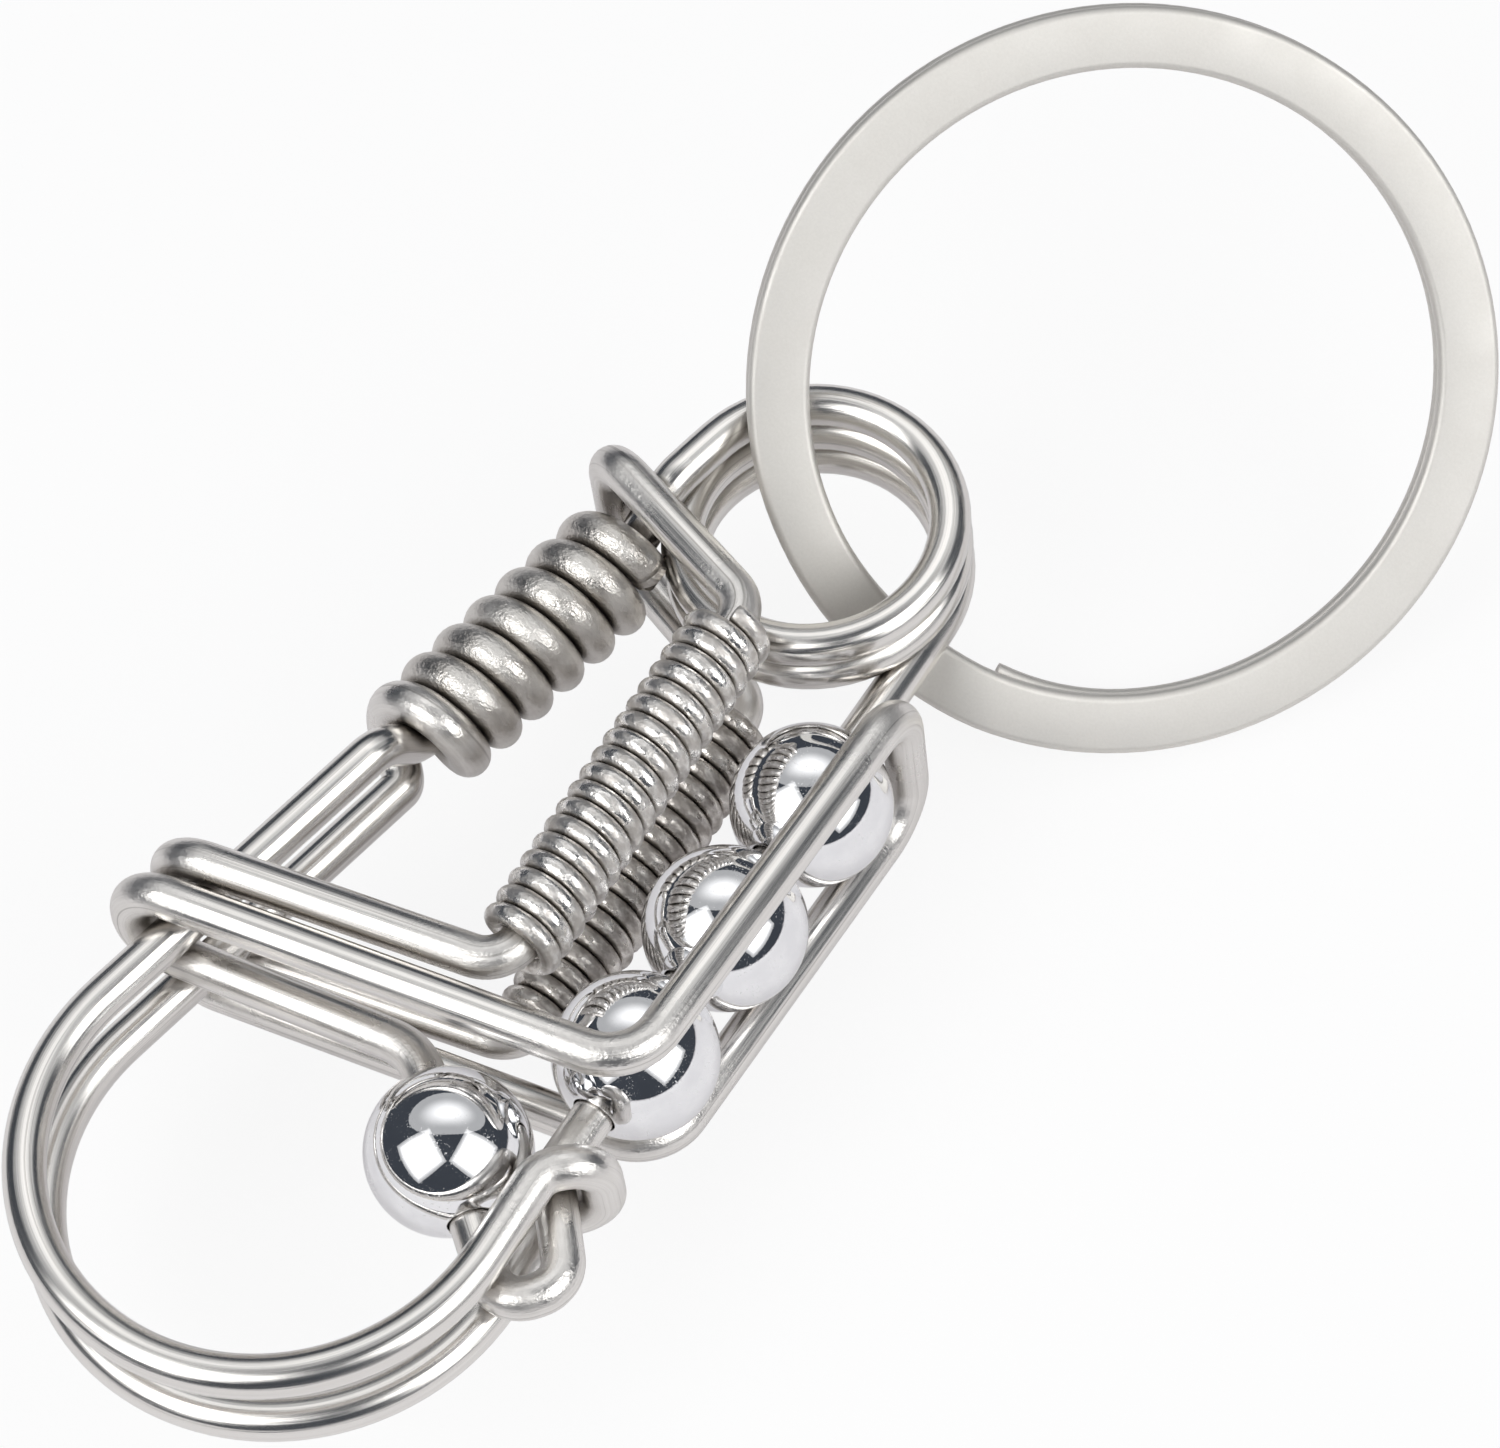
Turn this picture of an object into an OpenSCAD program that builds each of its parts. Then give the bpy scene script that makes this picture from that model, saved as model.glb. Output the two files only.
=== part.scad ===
// Wire snap hook with a sprung gate, threaded balls, sleeve springs and a split ring.
// Millimetres. Origin on the eye's axis at mid-plane, +Z up, the bow towards -Y.

/* [Wire] */
// Diameter of the bent wire
wire_d = 2.0; // [1.6:0.1:2.2]
// Clearance between wires that cross
wire_gap = 0.3; // [0.1:0.05:0.5]
// Loss of wire diameter in a bend
bend_thin = 0.02; // [0.01:0.01:0.1]
// Segments in a full circle
round_segments = 48; // [24:8:96]

/* [Eye] */
// Mean radius of the eye's turns
eye_r = 6.4; // [5:0.1:8]
// Fall of the eye in one turn
eye_pitch = 2.08; // [2.05:0.01:2.6]
// Whole turns beyond the part turn from rail to arm
eye_turns = 2; // [1:1:3]
// Tube diameter of the eye, under the wire's so that its turns stay apart
eye_tube_d = 1.4; // [1:0.1:2]
// Straight length at each end of the eye
eye_lead = 2.0; // [1.6:0.1:3]
// Gap at rest between the eye's end and the gate arm
arm_gap = 0.06; // [0.02:0.01:0.2]

/* [Bow] */
// Mean radius of the bow
bow_r = 11.2; // [9:0.1:14]
// Distance from the eye's axis down to the bow's centre
bow_drop = 39.8; // [36:0.1:48]
// Distance from the eye's axis left to the bow's centre
bow_left = 4.5; // [3:0.1:6]

/* [Nose] */
// Height of the nose's bend above the bow's centre
nose_rise = 4.5; // [3:0.1:6]
// Angle of the nose above the level
nose_lean = 40; // [20:1:60]
// Length of the nose from its bend to its end
nose_len = 2.5; // [2.5:0.1:6]
// Bend radius of the nose
nose_bend_r = 1.5; // [1.2:0.1:2]
// Bend radius of the nose's hairpin
nose_tip_r = 1.6; // [1.2:0.1:1.6]

/* [Gate arm] */
// Height of the arm's bend above the bow's centre
arm_rise = 5.4; // [4.5:0.1:8]
// Bend radius at the arm's lower end
arm_bend_r = 2.0; // [1.5:0.1:3]

/* [Hook] */
// Bend radius of the hook
hook_r = 1.55; // [1.5:0.05:2.2]
// Distance from the bow's right strand to the hook's outer corner
hook_out = 3.1; // [2.5:0.1:5]
// Height of the hook's outer corner above the bow's centre
hook_out_rise = 1.15; // [0:0.05:2]
// Distance from the bow's right strand to the hook's lower corner
hook_low = 1.0; // [0:0.1:2]
// Distance from the bow's centre down to the hook's lower corner
hook_low_drop = 1.2; // [0.5:0.05:3]

/* [Thumb bar] */
// Distance from the eye's axis left to the thumb bar's bend
thumb_bend_left = 2.3; // [0:0.1:4]
// Distance from the eye's axis down to the thumb bar's bend
thumb_bend_drop = 32.0; // [28:0.1:38]
// Fall of the thumb bar from its bend to the rail
thumb_bar_fall = 1.3; // [0.5:0.1:3]
// Bend radius of the thumb bar
thumb_bend_r = 3.0; // [1.2:0.1:4]

/* [Bars] */
// Distance from the eye's axis down to the lower bar at the cage
lower_bar_drop = 29.9; // [26:0.1:36]
// Fall of the lower bar from the cage to the rail
lower_bar_fall = 2.9; // [1:0.1:4]
// Distance from the eye's axis down to the upper bar at the rods
upper_bar_drop = 28.3; // [24:0.1:34]
// Fall of the upper bar from the rods to the rail
upper_bar_fall = 2.2; // [1:0.1:4]
// Bend radius at the cage's lower corners
bar_bend_r = 2.6; // [1.5:0.1:3]
// Bend radius of the wraps around the rail
wrap_bend_r = 2.2; // [1.5:0.1:2.3]
// Height of the back bars over the front ones
back_rise = 0.6; // [0:0.1:0.6]
// Height over the back bar at which the upper wrap leaves its slope
wrap_knee = 4.0; // [3.6:0.1:4.4]
// Length of the cut bar behind the back rod
cut_bar_len = 14; // [4:0.5:14]

/* [Cage] */
// Distance of the cage's lower corners outside the arm
cage_out = 2.0; // [1.5:0.1:3]
// Distance of the cage's top outside the arm
cage_top_out = 2.4; // [2.2:0.1:3]
// Clearance between the balls and the cage's rails
cage_gap = 0.2; // [0.1:0.05:0.6]
// Distance from the eye's axis down to the cage's top
cage_top_drop = 7.2; // [6.5:0.1:9]
// Bend radius of the cage's top
cage_bend_r = 2.5; // [2:0.1:4]

/* [Rods and clip] */
// Distance of the front rod right of the eye's axis
front_rod_x = 0.7; // [0:0.1:1.5]
// Distance of the back rod right of the eye's axis
back_rod_x = -0.1; // [-1:0.1:1.5]
// Bend radius at the rods' ends
rod_bend_r = 1.8; // [1.5:0.1:2.5]
// Distance from the eye's axis down to the clip at the rods
clip_right_drop = 6.9; // [6.5:0.1:9]
// Distance from the eye's axis down to the clip at the rail
clip_left_drop = 2.7; // [2:0.1:4]
// Bend radius of the clip around the rail
clip_bend_r = 2.0; // [1.5:0.1:3]

/* [Balls] */
// Diameter of the balls on the gate arm
ball_d = 7.7; // [6:0.1:8.4]
// Gap between neighbouring balls
ball_gap = 0.1; // [0.05:0.05:0.5]
// Distance from the eye's axis down to the middle ball
ball_mid_drop = 19.5; // [17:0.1:24]
// Radial clearance of the balls on the wire
bore_gap = 0.05; // [0.02:0.01:0.1]
// Diameter of the thumb ball
thumb_ball_d = 7.7; // [6:0.1:8.4]
// Distance of the thumb ball along its wire from the thumb bar's bend
thumb_ball_along = 5.4; // [4.6:0.1:7]

/* [Springs] */
// Outside diameter of the sleeve springs
spring_od = 4.2; // [3.6:0.1:5]
// Wire diameter of the sleeve springs
spring_wire_d = 1.0; // [0.8:0.1:1.2]
// Rise of a sleeve spring in one turn
spring_pitch = 1.02; // [1.02:0.01:1.2]
// Turns of the front sleeve spring
spring_turns = 18.5; // [10:0.5:18.5]
// Tube diameter of the sleeve springs, under their wire's so that the turns stay apart
spring_tube_d = 0.6; // [0.4:0.05:0.8]
// Distance from the eye's axis down to the front spring's lower end
spring_drop = 27.2; // [24:0.1:32]
// Place around a sleeve spring at which its lower end lies
spring_start = -100; // [-180:5:180]

/* [Binding coil] */
// Mean radius of the binding coil around the rail
bind_r = 2.1; // [2:0.05:2.6]
// Rise of the binding coil in one turn
bind_pitch = 2.07; // [2.05:0.01:2.4]
// Turns of the binding coil after its first round
bind_turns = 6.2; // [4:0.1:7]
// Tube diameter of the binding coil, under the wire's so that its turns stay apart
bind_tube_d = 1.6; // [1:0.1:2]
// Length of the binding coil's first round along the rail
bind_lead = 2.4; // [2:0.1:4]
// Distance along the rail from the eye to the binding coil's cut end
bind_end = 6.8; // [6.4:0.1:10]
// Distance along the rail from the eye to the top of its dip under the coil
dip_top = 3.0; // [2.9:0.1:4]
// Distance along the rail from the eye to the upper foot of its dip
dip_top_foot = 5.9; // [5.5:0.1:8]
// Length of the slope at the dip's lower end
dip_slope = 2.0; // [1.5:0.1:4]
// Length of the dip below the binding coil
dip_past = 0.8; // [0.4:0.1:2]
// Bend radius of the dip
dip_bend_r = 2.0; // [1.5:0.1:3]

/* [Split ring] */
// Outside diameter of the split ring
ring_od = 36.0; // [30:0.5:40]
// Width of the split ring's band
ring_band = 2.9; // [2:0.1:3.5]
// Thickness of the split ring's two turns
ring_t = 1.8; // [1.4:0.1:2]
// Space between the split ring's two turns
ring_turn_gap = 0.5; // [0.45:0.05:0.8]
// Angle taken by the step from one turn to the other
ring_step = 16; // [15:1:40]
// Position of the split ring's cut end around the ring
ring_cut = 325; // [0:5:355]
// Height over the mid-plane at which the ring passes the eye's axis
ring_link_z = -1.0; // [-1.2:0.1:-0.8]
// Place around the ring that lies furthest from the eye
ring_far = 106; // [96:1:116]
// Lean of the ring from the level
ring_lean = 46.5; // [40:0.5:90]
// Direction towards which the ring leans
ring_heading = -46.5; // [-90:0.5:0]

/* [Hidden] */

$fn = round_segments;

steel = [0.78, 0.78, 0.77];
chrome = [0.9, 0.9, 0.92];
satin = [0.62, 0.6, 0.57];
nickel = [0.74, 0.72, 0.7];

// Sides of a swept tube, rings in one loop and in one curl
tube_sides = 6;
loop_rings = 24;
curl_rings = 8;
// Rings in one turn of the split ring
band_rings = 48;
full_turn = 360;

// Depth of a bend's ends in the straights
bend_bury = 0.06;

// Heights of the doubled frame wire and of the bars on it
frame_z = wire_d + wire_gap;
bar_z = 2 * frame_z;

// Common tangent of the eye and the bow on the left
centre_dist = norm([bow_left, bow_drop]);
rail_a = atan2(bow_left, bow_drop) + asin((bow_r - eye_r) / centre_dist);
rail_dir = [-sin(rail_a), -cos(rail_a), 0];
rail_side = [cos(rail_a), -sin(rail_a), 0];
eye_tangent = eye_r * [-cos(rail_a), sin(rail_a), 0];
bow_centre = [-bow_left, -bow_drop, 0];
bow_tangent = bow_centre + bow_r * [-cos(rail_a), sin(rail_a), 0];
up = [0, 0, 1];
function rail_x(y) = eye_tangent.x + (y - eye_tangent.y) * tan(rail_a);
function rail_at(s, z) = eye_tangent + s * rail_dir + z * up;
rail_len = norm(bow_tangent - eye_tangent);

// Eye, from the rail down to the arm
eye_start = 180 - rail_a;
eye_sweep = eye_start + full_turn * eye_turns;
eye_end_z = frame_z - eye_pitch * eye_sweep / full_turn;
eye_end = [eye_r, 0, eye_end_z];

// Gate arm and hook
arm_foot = [eye_r, arm_rise - bow_drop, 0];
arm_dir = (arm_foot - eye_end) / norm(arm_foot - eye_end);
function arm_at(y) = eye_end + arm_dir * (y - eye_end.y) / arm_dir.y;
strand_x = bow_r - bow_left;
hook_side = [strand_x + hook_out, hook_out_rise - bow_drop, 0];
hook_floor = [strand_x + hook_low, -hook_low_drop - bow_drop, 0];
thumb_bend = [-thumb_bend_left, -thumb_bend_drop, 0];
thumb_dir = (hook_floor - thumb_bend) / norm(hook_floor - thumb_bend);
arm_split = arm_at(-(ball_mid_drop + 2 * (ball_d + ball_gap) - ball_d / 3));
hook_split = thumb_bend + thumb_dir * (thumb_ball_along + thumb_ball_d / 2 + wire_gap);

// Cage, level with the arm
cage_x = eye_r + cage_out;
cage_half = sqrt(pow((ball_d + wire_d) / 2 + cage_gap, 2) - pow(cage_out, 2));
corner_y = -lower_bar_drop;
front_z = max(bar_z, arm_at(corner_y).z + cage_half);
back_z = min(-bar_z, arm_at(corner_y).z - cage_half);
front_corner = [cage_x, corner_y, front_z];
back_corner = [cage_x, corner_y + back_rise, back_z];
front_top = [eye_r + cage_top_out, -cage_top_drop, arm_at(-cage_top_drop).z + cage_half];
back_top = [eye_r + cage_top_out, -cage_top_drop, arm_at(-cage_top_drop).z - cage_half];
rail_share = 0.82;

// Left ends of the bars, outside the rail
wrap_out = (wire_d + wire_gap) / cos(rail_a);
lower_left_y = corner_y - lower_bar_fall;
lower_left_x = rail_x(lower_left_y) - wrap_out;
lower_left = [lower_left_x, lower_left_y, front_z];
thumb_left = [lower_left_x, -thumb_bend_drop - thumb_bar_fall, 0];
upper_left_y = -upper_bar_drop - upper_bar_fall;
upper_left_x = rail_x(upper_left_y) - wrap_out;
upper_left = [upper_left_x, upper_left_y, front_z];
upper_left_back = [upper_left_x, upper_left_y + back_rise, back_z];
rod_foot_front = [front_rod_x, -upper_bar_drop, front_z];
rod_foot_back = [back_rod_x, back_rise - upper_bar_drop, back_z];
clip_right_front = [front_rod_x, -clip_right_drop, front_z];
clip_right_back = [back_rod_x, -clip_right_drop, back_z];
clip_left_x = rail_x(-clip_left_drop) - wrap_out;
clip_left_front = [clip_left_x, -clip_left_drop, front_z];
clip_left_back = [clip_left_x, -clip_left_drop, back_z];

// Places where the wire is cut into named lengths
wrap_share = 0.2;
rod_share = 0.2;
lower_cut_left = mix(lower_left, front_corner, wrap_share);
thumb_cut = mix(thumb_left, thumb_bend, wrap_share);
lower_cut_right = mix(front_corner, lower_left, wrap_share);
cage_cut_front = mix(front_corner, front_top, rail_share);
cage_cut_back = mix(back_corner, back_top, rail_share);
lower_back_left = [lower_left_x, lower_left_y + back_rise, back_z];
lower_back_cut = mix(back_corner, lower_back_left, wrap_share);
back_cut_left = mix(lower_back_left, back_corner, wrap_share);
upper_cut_left = mix(upper_left, rod_foot_front, rod_share);
upper_cut_right = mix(rod_foot_front, upper_left, rod_share);
upper_back_right = mix(rod_foot_back, upper_left_back, rod_share);
bar_back_dir = (upper_left_back - rod_foot_back) / norm(upper_left_back - rod_foot_back);
cut_end = rod_foot_back + bar_back_dir * cut_bar_len;
clip_cut_share = 0.1;
clip_cut_front = mix(clip_right_front, rod_foot_front, clip_cut_share);
clip_cut_back = mix(clip_right_back, rod_foot_back, clip_cut_share);

// Balls
ball_step = ball_d + ball_gap;
ball_mid = arm_at(-ball_mid_drop);
ball_top = ball_mid - arm_dir * ball_step;
ball_low = ball_mid + arm_dir * ball_step;
thumb_centre = thumb_bend + thumb_dir * thumb_ball_along;

// Helpers
function mix(a, b, t) = a + (b - a) * t;
function unit(v) = v / norm(v);
function turn_of(p, i) = acos(unit(p[i] - p[i - 1]) * unit(p[i + 1] - p[i]));
function bend_len(p, r, i) = i == 0 || i == len(p) - 1 ? 0 : r[i - 1] * tan(turn_of(p, i) / 2);
function smooth(t) = t * t * (3 - 2 * t);

// Round bar between two points
module bar(a, b, d) {
    v = b - a;
    translate(a)
        rotate([0, acos(v.z / norm(v)), atan2(v.y, v.x)])
            cylinder(h = norm(v), d = d);
}

// Bend at point p from direction u to direction v, its ends let into the straights
module bend(p, u, v, r, d) {
    turn = acos(u * v);
    let_in = bend_bury / r * 180 / PI;
    side = unit(v - u * (u * v));
    c = p - u * r * tan(turn / 2) + side * r;
    n = cross(-side, u);
    multmatrix([
        [-side.x, u.x, n.x, c.x],
        [-side.y, u.y, n.y, c.y],
        [-side.z, u.z, n.z, c.z],
        [0, 0, 0, 1]
    ])
        rotate([0, 0, -let_in])
            rotate_extrude(angle = turn + 2 * let_in)
                translate([r, 0])
                    circle(d = d - bend_thin);
}

// Wire through the points p, bent to the radii r at the inner points
module wire(p, r = [], d = wire_d) {
    for (i = [0:len(p) - 2]) {
        u = unit(p[i + 1] - p[i]);
        a = p[i] + u * bend_len(p, r, i);
        b = p[i + 1] - u * bend_len(p, r, i + 1);
        if (norm(b - a) > 0.001)
            bar(a, b, d);
        if (i < len(p) - 2)
            bend(p[i + 1], u, unit(p[i + 2] - p[i + 1]), r[i], d);
    }
}

// Tube swept along the path, its first side turned to the guides
function along(path, i) = unit(path[min(i + 1, len(path) - 1)] - path[max(i - 1, 0)]);
function square_to(g, t) = unit(g - t * (g * t));
function ring_points(path, guide, shape) = [
    for (i = [0:len(path) - 1])
        let (t = along(path, i), a = square_to(guide[i], t), b = cross(t, a))
            for (q = shape) path[i] + a * q.x + b * q.y
];
function tube_faces(n, m) = [
    for (k = [1:m - 2]) [0, k, k + 1],
    for (i = [0:n - 2]) for (k = [0:m - 1])
        let (a = i * m + k, b = i * m + (k + 1) % m) each [[a, a + m, b + m], [a, b + m, b]],
    for (k = [1:m - 2]) let (e = (n - 1) * m) [e, e + k + 1, e + k]
];
function round_shape(d) = [
    for (k = [0:tube_sides - 1])
        let (a = full_turn * k / tube_sides) d / 2 * [cos(a), sin(a)]
];
module tube(path, guide, shape) {
    polyhedron(
        points = ring_points(path, guide, shape),
        faces = tube_faces(len(path), len(shape)),
        convexity = 10
    );
}

// Least gap of a path to itself, between points at least skip apart
function self_gap(p, skip, d) =
    min([for (i = [0:len(p) - 1]) for (j = [i + skip:1:len(p) - 1]) norm(p[i] - p[j])]) - d;

// Path of the eye, with straight ends
eye_rings = round(loop_rings * eye_sweep / full_turn);
function eye_angle(i) = eye_start - eye_sweep * i / eye_rings;
function eye_point(i) =
    let (a = eye_angle(i))
        [eye_r * cos(a), eye_r * sin(a), frame_z - eye_pitch * eye_sweep / full_turn * i / eye_rings];
function eye_guide(i) = [cos(eye_angle(i)), sin(eye_angle(i)), 0];
eye_path = concat(
    [rail_at(eye_lead, frame_z)],
    [for (i = [0:eye_rings]) eye_point(i)],
    [eye_end + arm_dir * eye_lead]
);
eye_guides = concat([eye_guide(0)], [for (i = [0:eye_rings]) eye_guide(i)], [eye_guide(eye_rings)]);

// Path of the binding coil: off the back rail, then round the front rail
bind_first = 180;
bind_behind = 90;
lead_rings = round(loop_rings * bind_first / full_turn);
bind_rings = round(loop_rings * bind_turns);
bind_start = bind_end + bind_pitch * bind_turns;
bind_foot = bind_start + bind_lead;
lead_slope = bind_pitch * 2 * bind_first / full_turn;
function bind_guide(a) = cos(a) * rail_side - sin(a) * up;
function bind_axis(s, a, r) = rail_at(s, 0) + r * bind_guide(a);
function lead_angle(t) = bind_behind + bind_first * t * t;
function lead_along(t) = (2 * bind_lead - lead_slope) * t + (lead_slope - bind_lead) * t * t;
function lead_point(t) =
    bind_axis(bind_foot - lead_along(t), lead_angle(t), mix(frame_z, bind_r, smooth(t)));
function bind_angle(i) = lead_angle(1) + full_turn * i / loop_rings;
bind_path = concat(
    [bind_axis(bind_foot + bind_tube_d, bind_behind, frame_z)],
    [for (i = [0:lead_rings]) lead_point(i / lead_rings)],
    [for (i = [1:bind_rings]) bind_axis(bind_start - bind_pitch * i / loop_rings, bind_angle(i), bind_r)]
);
bind_guides = concat(
    [bind_guide(bind_behind)],
    [for (i = [0:lead_rings]) bind_guide(lead_angle(i / lead_rings))],
    [for (i = [1:bind_rings]) bind_guide(bind_angle(i))]
);

// Path of a sleeve spring, wound left-handed around an upright axis, with straight ends
spring_r = (spring_od - spring_wire_d) / 2;
back_spring_turns = spring_turns - back_rise / spring_pitch;
function spring_at(i) =
    let (a = full_turn * i / curl_rings)
        [spring_r * cos(a), -spring_r * sin(a), spring_pitch * i / curl_rings];
function spring_side(i) = let (a = full_turn * i / curl_rings) [cos(a), -sin(a), 0];
function spring_run(i) = let (a = full_turn * i / curl_rings) [-sin(a), -cos(a), 0];
function spring_path(turns) =
    let (rings = round(curl_rings * turns))
        concat(
            [spring_at(0) - spring_tube_d * spring_run(0)],
            [for (i = [0:rings]) spring_at(i)],
            [spring_at(rings) + spring_tube_d * spring_run(rings)]
        );
function spring_guides(turns) =
    let (rings = round(curl_rings * turns))
        concat([spring_side(0)], [for (i = [0:rings]) spring_side(i)], [spring_side(rings)]);

// Path of the split ring: a turn, a step and a turn
ring_mean_r = (ring_od - ring_band) / 2;
band_t = (ring_t - ring_turn_gap) / 2;
band_z = (ring_t - band_t) / 2;
ring_sweep = 2 * full_turn - ring_step;
ring_count = round(band_rings * ring_sweep / full_turn);
function ring_angle(i) = ring_step + ring_sweep * i / ring_count;
function ring_height(a) =
    band_z * (1 - 2 * smooth(min(max((a - full_turn) / ring_step, 0), 1)));
function ring_side(i) = [cos(ring_angle(i)), -sin(ring_angle(i)), 0];
ring_path = [for (i = [0:ring_count]) ring_mean_r * ring_side(i) + ring_height(ring_angle(i)) * up];
ring_guides = [for (i = [0:ring_count]) ring_side(i)];
band_shape = [
    [ring_band / 2, band_t / 2], [-ring_band / 2, band_t / 2],
    [-ring_band / 2, -band_t / 2], [ring_band / 2, -band_t / 2]
];

echo(str("least gap eye_coil ", self_gap(eye_path, loop_rings / 2, eye_tube_d)));
echo(str("least gap binding_coil ", self_gap(bind_path, loop_rings / 2, bind_tube_d)));
echo(str("least gap springs ", self_gap(spring_path(spring_turns), curl_rings / 2, spring_tube_d)));
echo(str("least gap split_ring ", self_gap(ring_path, band_rings / 2, band_t)));

// Frame
module eye_coil() color(steel) tube(eye_path, eye_guides, round_shape(eye_tube_d));

// The front rail dips to mid-plane under the binding coil
module left_rail_front() {
    foot = bind_start + dip_past;
    color(steel)
        wire(
            [
                rail_at(eye_lead, frame_z), rail_at(dip_top, frame_z), rail_at(dip_top_foot, 0),
                rail_at(foot, 0), rail_at(foot + dip_slope, frame_z), rail_at(rail_len, frame_z)
            ],
            [dip_bend_r, dip_bend_r, dip_bend_r, dip_bend_r]
        );
}

module bow(z) {
    translate(bow_centre + z * up)
        rotate([0, 0, 180 - rail_a])
            rotate_extrude(angle = 180 + rail_a)
                translate([bow_r, 0])
                    circle(d = wire_d);
}
module bow_front() color(steel) bow(frame_z);
module bow_back() color(steel) bow(-frame_z);

module nose_hairpin() {
    foot = [strand_x, -bow_drop, 0];
    elbow = [strand_x, nose_rise - bow_drop, 0];
    tip = elbow + nose_len * [cos(nose_lean), sin(nose_lean), 0];
    lift = frame_z * up;
    color(steel)
        wire(
            [foot + lift, elbow + lift, tip + lift, tip - lift, elbow - lift, foot - lift],
            [nose_bend_r, nose_tip_r, nose_tip_r, nose_bend_r]
        );
}

module left_rail_back() color(steel)
    wire([rail_at(bind_foot + bind_tube_d, -frame_z), rail_at(rail_len, -frame_z)]);

module binding_coil() color(satin) tube(bind_path, bind_guides, round_shape(bind_tube_d));

// Gate
module gate_arm() color(steel) wire([eye_end + arm_dir * (eye_lead + arm_gap), arm_split]);

module nose_hook() color(steel)
    wire([arm_split, arm_foot, hook_side, hook_floor, hook_split], [arm_bend_r, hook_r, hook_r]);

module thumb_bar() color(steel) wire([hook_split, thumb_bend, thumb_cut], [thumb_bend_r]);

module lower_wrap() color(steel)
    wire([thumb_cut, thumb_left, lower_left, lower_cut_left], [wrap_bend_r, wrap_bend_r]);

module front_bar_lower() color(steel) wire([lower_cut_left, lower_cut_right]);

module cage_front_rail() color(steel)
    wire([lower_cut_right, front_corner, cage_cut_front], [bar_bend_r]);

module cage_top_bend() color(steel)
    wire([cage_cut_front, front_top, back_top, cage_cut_back], [cage_bend_r, cage_bend_r]);

module cage_back_rail() color(steel)
    wire([cage_cut_back, back_corner, lower_back_cut], [bar_bend_r]);

module back_bar_lower() color(steel) wire([lower_back_cut, back_cut_left]);

// The upper wrap climbs past the lower one on its way to the front
module upper_wrap() color(steel)
    wire(
        [back_cut_left, lower_back_left, [upper_left_x, upper_left_y, back_z + wrap_knee], upper_left, upper_cut_left],
        [wrap_bend_r, wrap_bend_r, wrap_bend_r]
    );

module front_bar_upper() color(steel) wire([upper_cut_left, upper_cut_right]);

module front_rod() color(steel)
    wire([upper_cut_right, rod_foot_front, clip_cut_front], [rod_bend_r]);

module top_clip() color(steel)
    wire(
        [clip_cut_front, clip_right_front, clip_left_front, clip_left_back, clip_right_back, clip_cut_back],
        [rod_bend_r, clip_bend_r, clip_bend_r, rod_bend_r]
    );

module back_rod() color(steel)
    wire([clip_cut_back, rod_foot_back, upper_back_right], [rod_bend_r]);

module back_bar_upper() color(steel) wire([upper_back_right, cut_end]);

// Ball with a bore along a direction
module ball(c, dir, d) {
    difference() {
        translate(c)
            sphere(d = d);
        bar(c - dir * d, c + dir * d, wire_d + 2 * bore_gap);
    }
}
module ball_1() color(chrome) ball(ball_top, arm_dir, ball_d);
module ball_2() color(chrome) ball(ball_mid, arm_dir, ball_d);
module ball_3() color(chrome) ball(ball_low, arm_dir, ball_d);
module thumb_ball() color(chrome) ball(thumb_centre, thumb_dir, thumb_ball_d);

// Sleeve spring along +Y from its lower end
module sleeve(foot, turns) {
    translate(foot)
        rotate([-90, 0, 0])
            rotate([0, 0, -spring_start])
                tube(spring_path(turns), spring_guides(turns), round_shape(spring_tube_d));
}
module front_spring() color(satin) sleeve([front_rod_x, -spring_drop, front_z], spring_turns);
module back_spring() color(satin)
    sleeve([back_rod_x, back_rise - spring_drop, back_z], back_spring_turns);

module split_ring() color(nickel)
    translate(ring_link_z * up)
        rotate([0, ring_lean, ring_heading])
            translate(ring_mean_r * [cos(ring_far), sin(ring_far), 0])
                rotate([0, 0, ring_cut])
                    tube(ring_path, ring_guides, band_shape);

eye_coil();
left_rail_front();
bow_front();
nose_hairpin();
bow_back();
left_rail_back();
binding_coil();
gate_arm();
nose_hook();
thumb_bar();
lower_wrap();
front_bar_lower();
cage_front_rail();
cage_top_bend();
cage_back_rail();
back_bar_lower();
upper_wrap();
front_bar_upper();
front_rod();
top_clip();
back_rod();
back_bar_upper();
ball_1();
ball_2();
ball_3();
thumb_ball();
front_spring();
back_spring();
split_ring();
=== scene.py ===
import math

import bmesh
import bpy
from mathutils import Matrix, Vector


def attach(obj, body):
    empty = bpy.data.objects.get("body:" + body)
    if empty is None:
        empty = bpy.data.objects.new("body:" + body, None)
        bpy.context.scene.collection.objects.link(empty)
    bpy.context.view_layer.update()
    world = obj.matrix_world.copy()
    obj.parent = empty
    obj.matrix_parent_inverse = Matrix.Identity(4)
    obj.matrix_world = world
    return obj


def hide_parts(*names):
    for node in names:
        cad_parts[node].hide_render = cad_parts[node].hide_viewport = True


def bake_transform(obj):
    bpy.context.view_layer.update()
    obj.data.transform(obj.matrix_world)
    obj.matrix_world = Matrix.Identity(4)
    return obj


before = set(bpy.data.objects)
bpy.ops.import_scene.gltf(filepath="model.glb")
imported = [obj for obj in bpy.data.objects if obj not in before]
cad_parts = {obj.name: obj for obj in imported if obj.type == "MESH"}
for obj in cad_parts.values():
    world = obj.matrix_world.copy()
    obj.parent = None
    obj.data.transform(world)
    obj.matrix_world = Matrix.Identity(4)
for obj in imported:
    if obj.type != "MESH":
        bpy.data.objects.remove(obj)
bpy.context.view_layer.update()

MM = 0.001
UP = Vector((0, 0, 1))
TURN = 2 * math.pi

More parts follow.
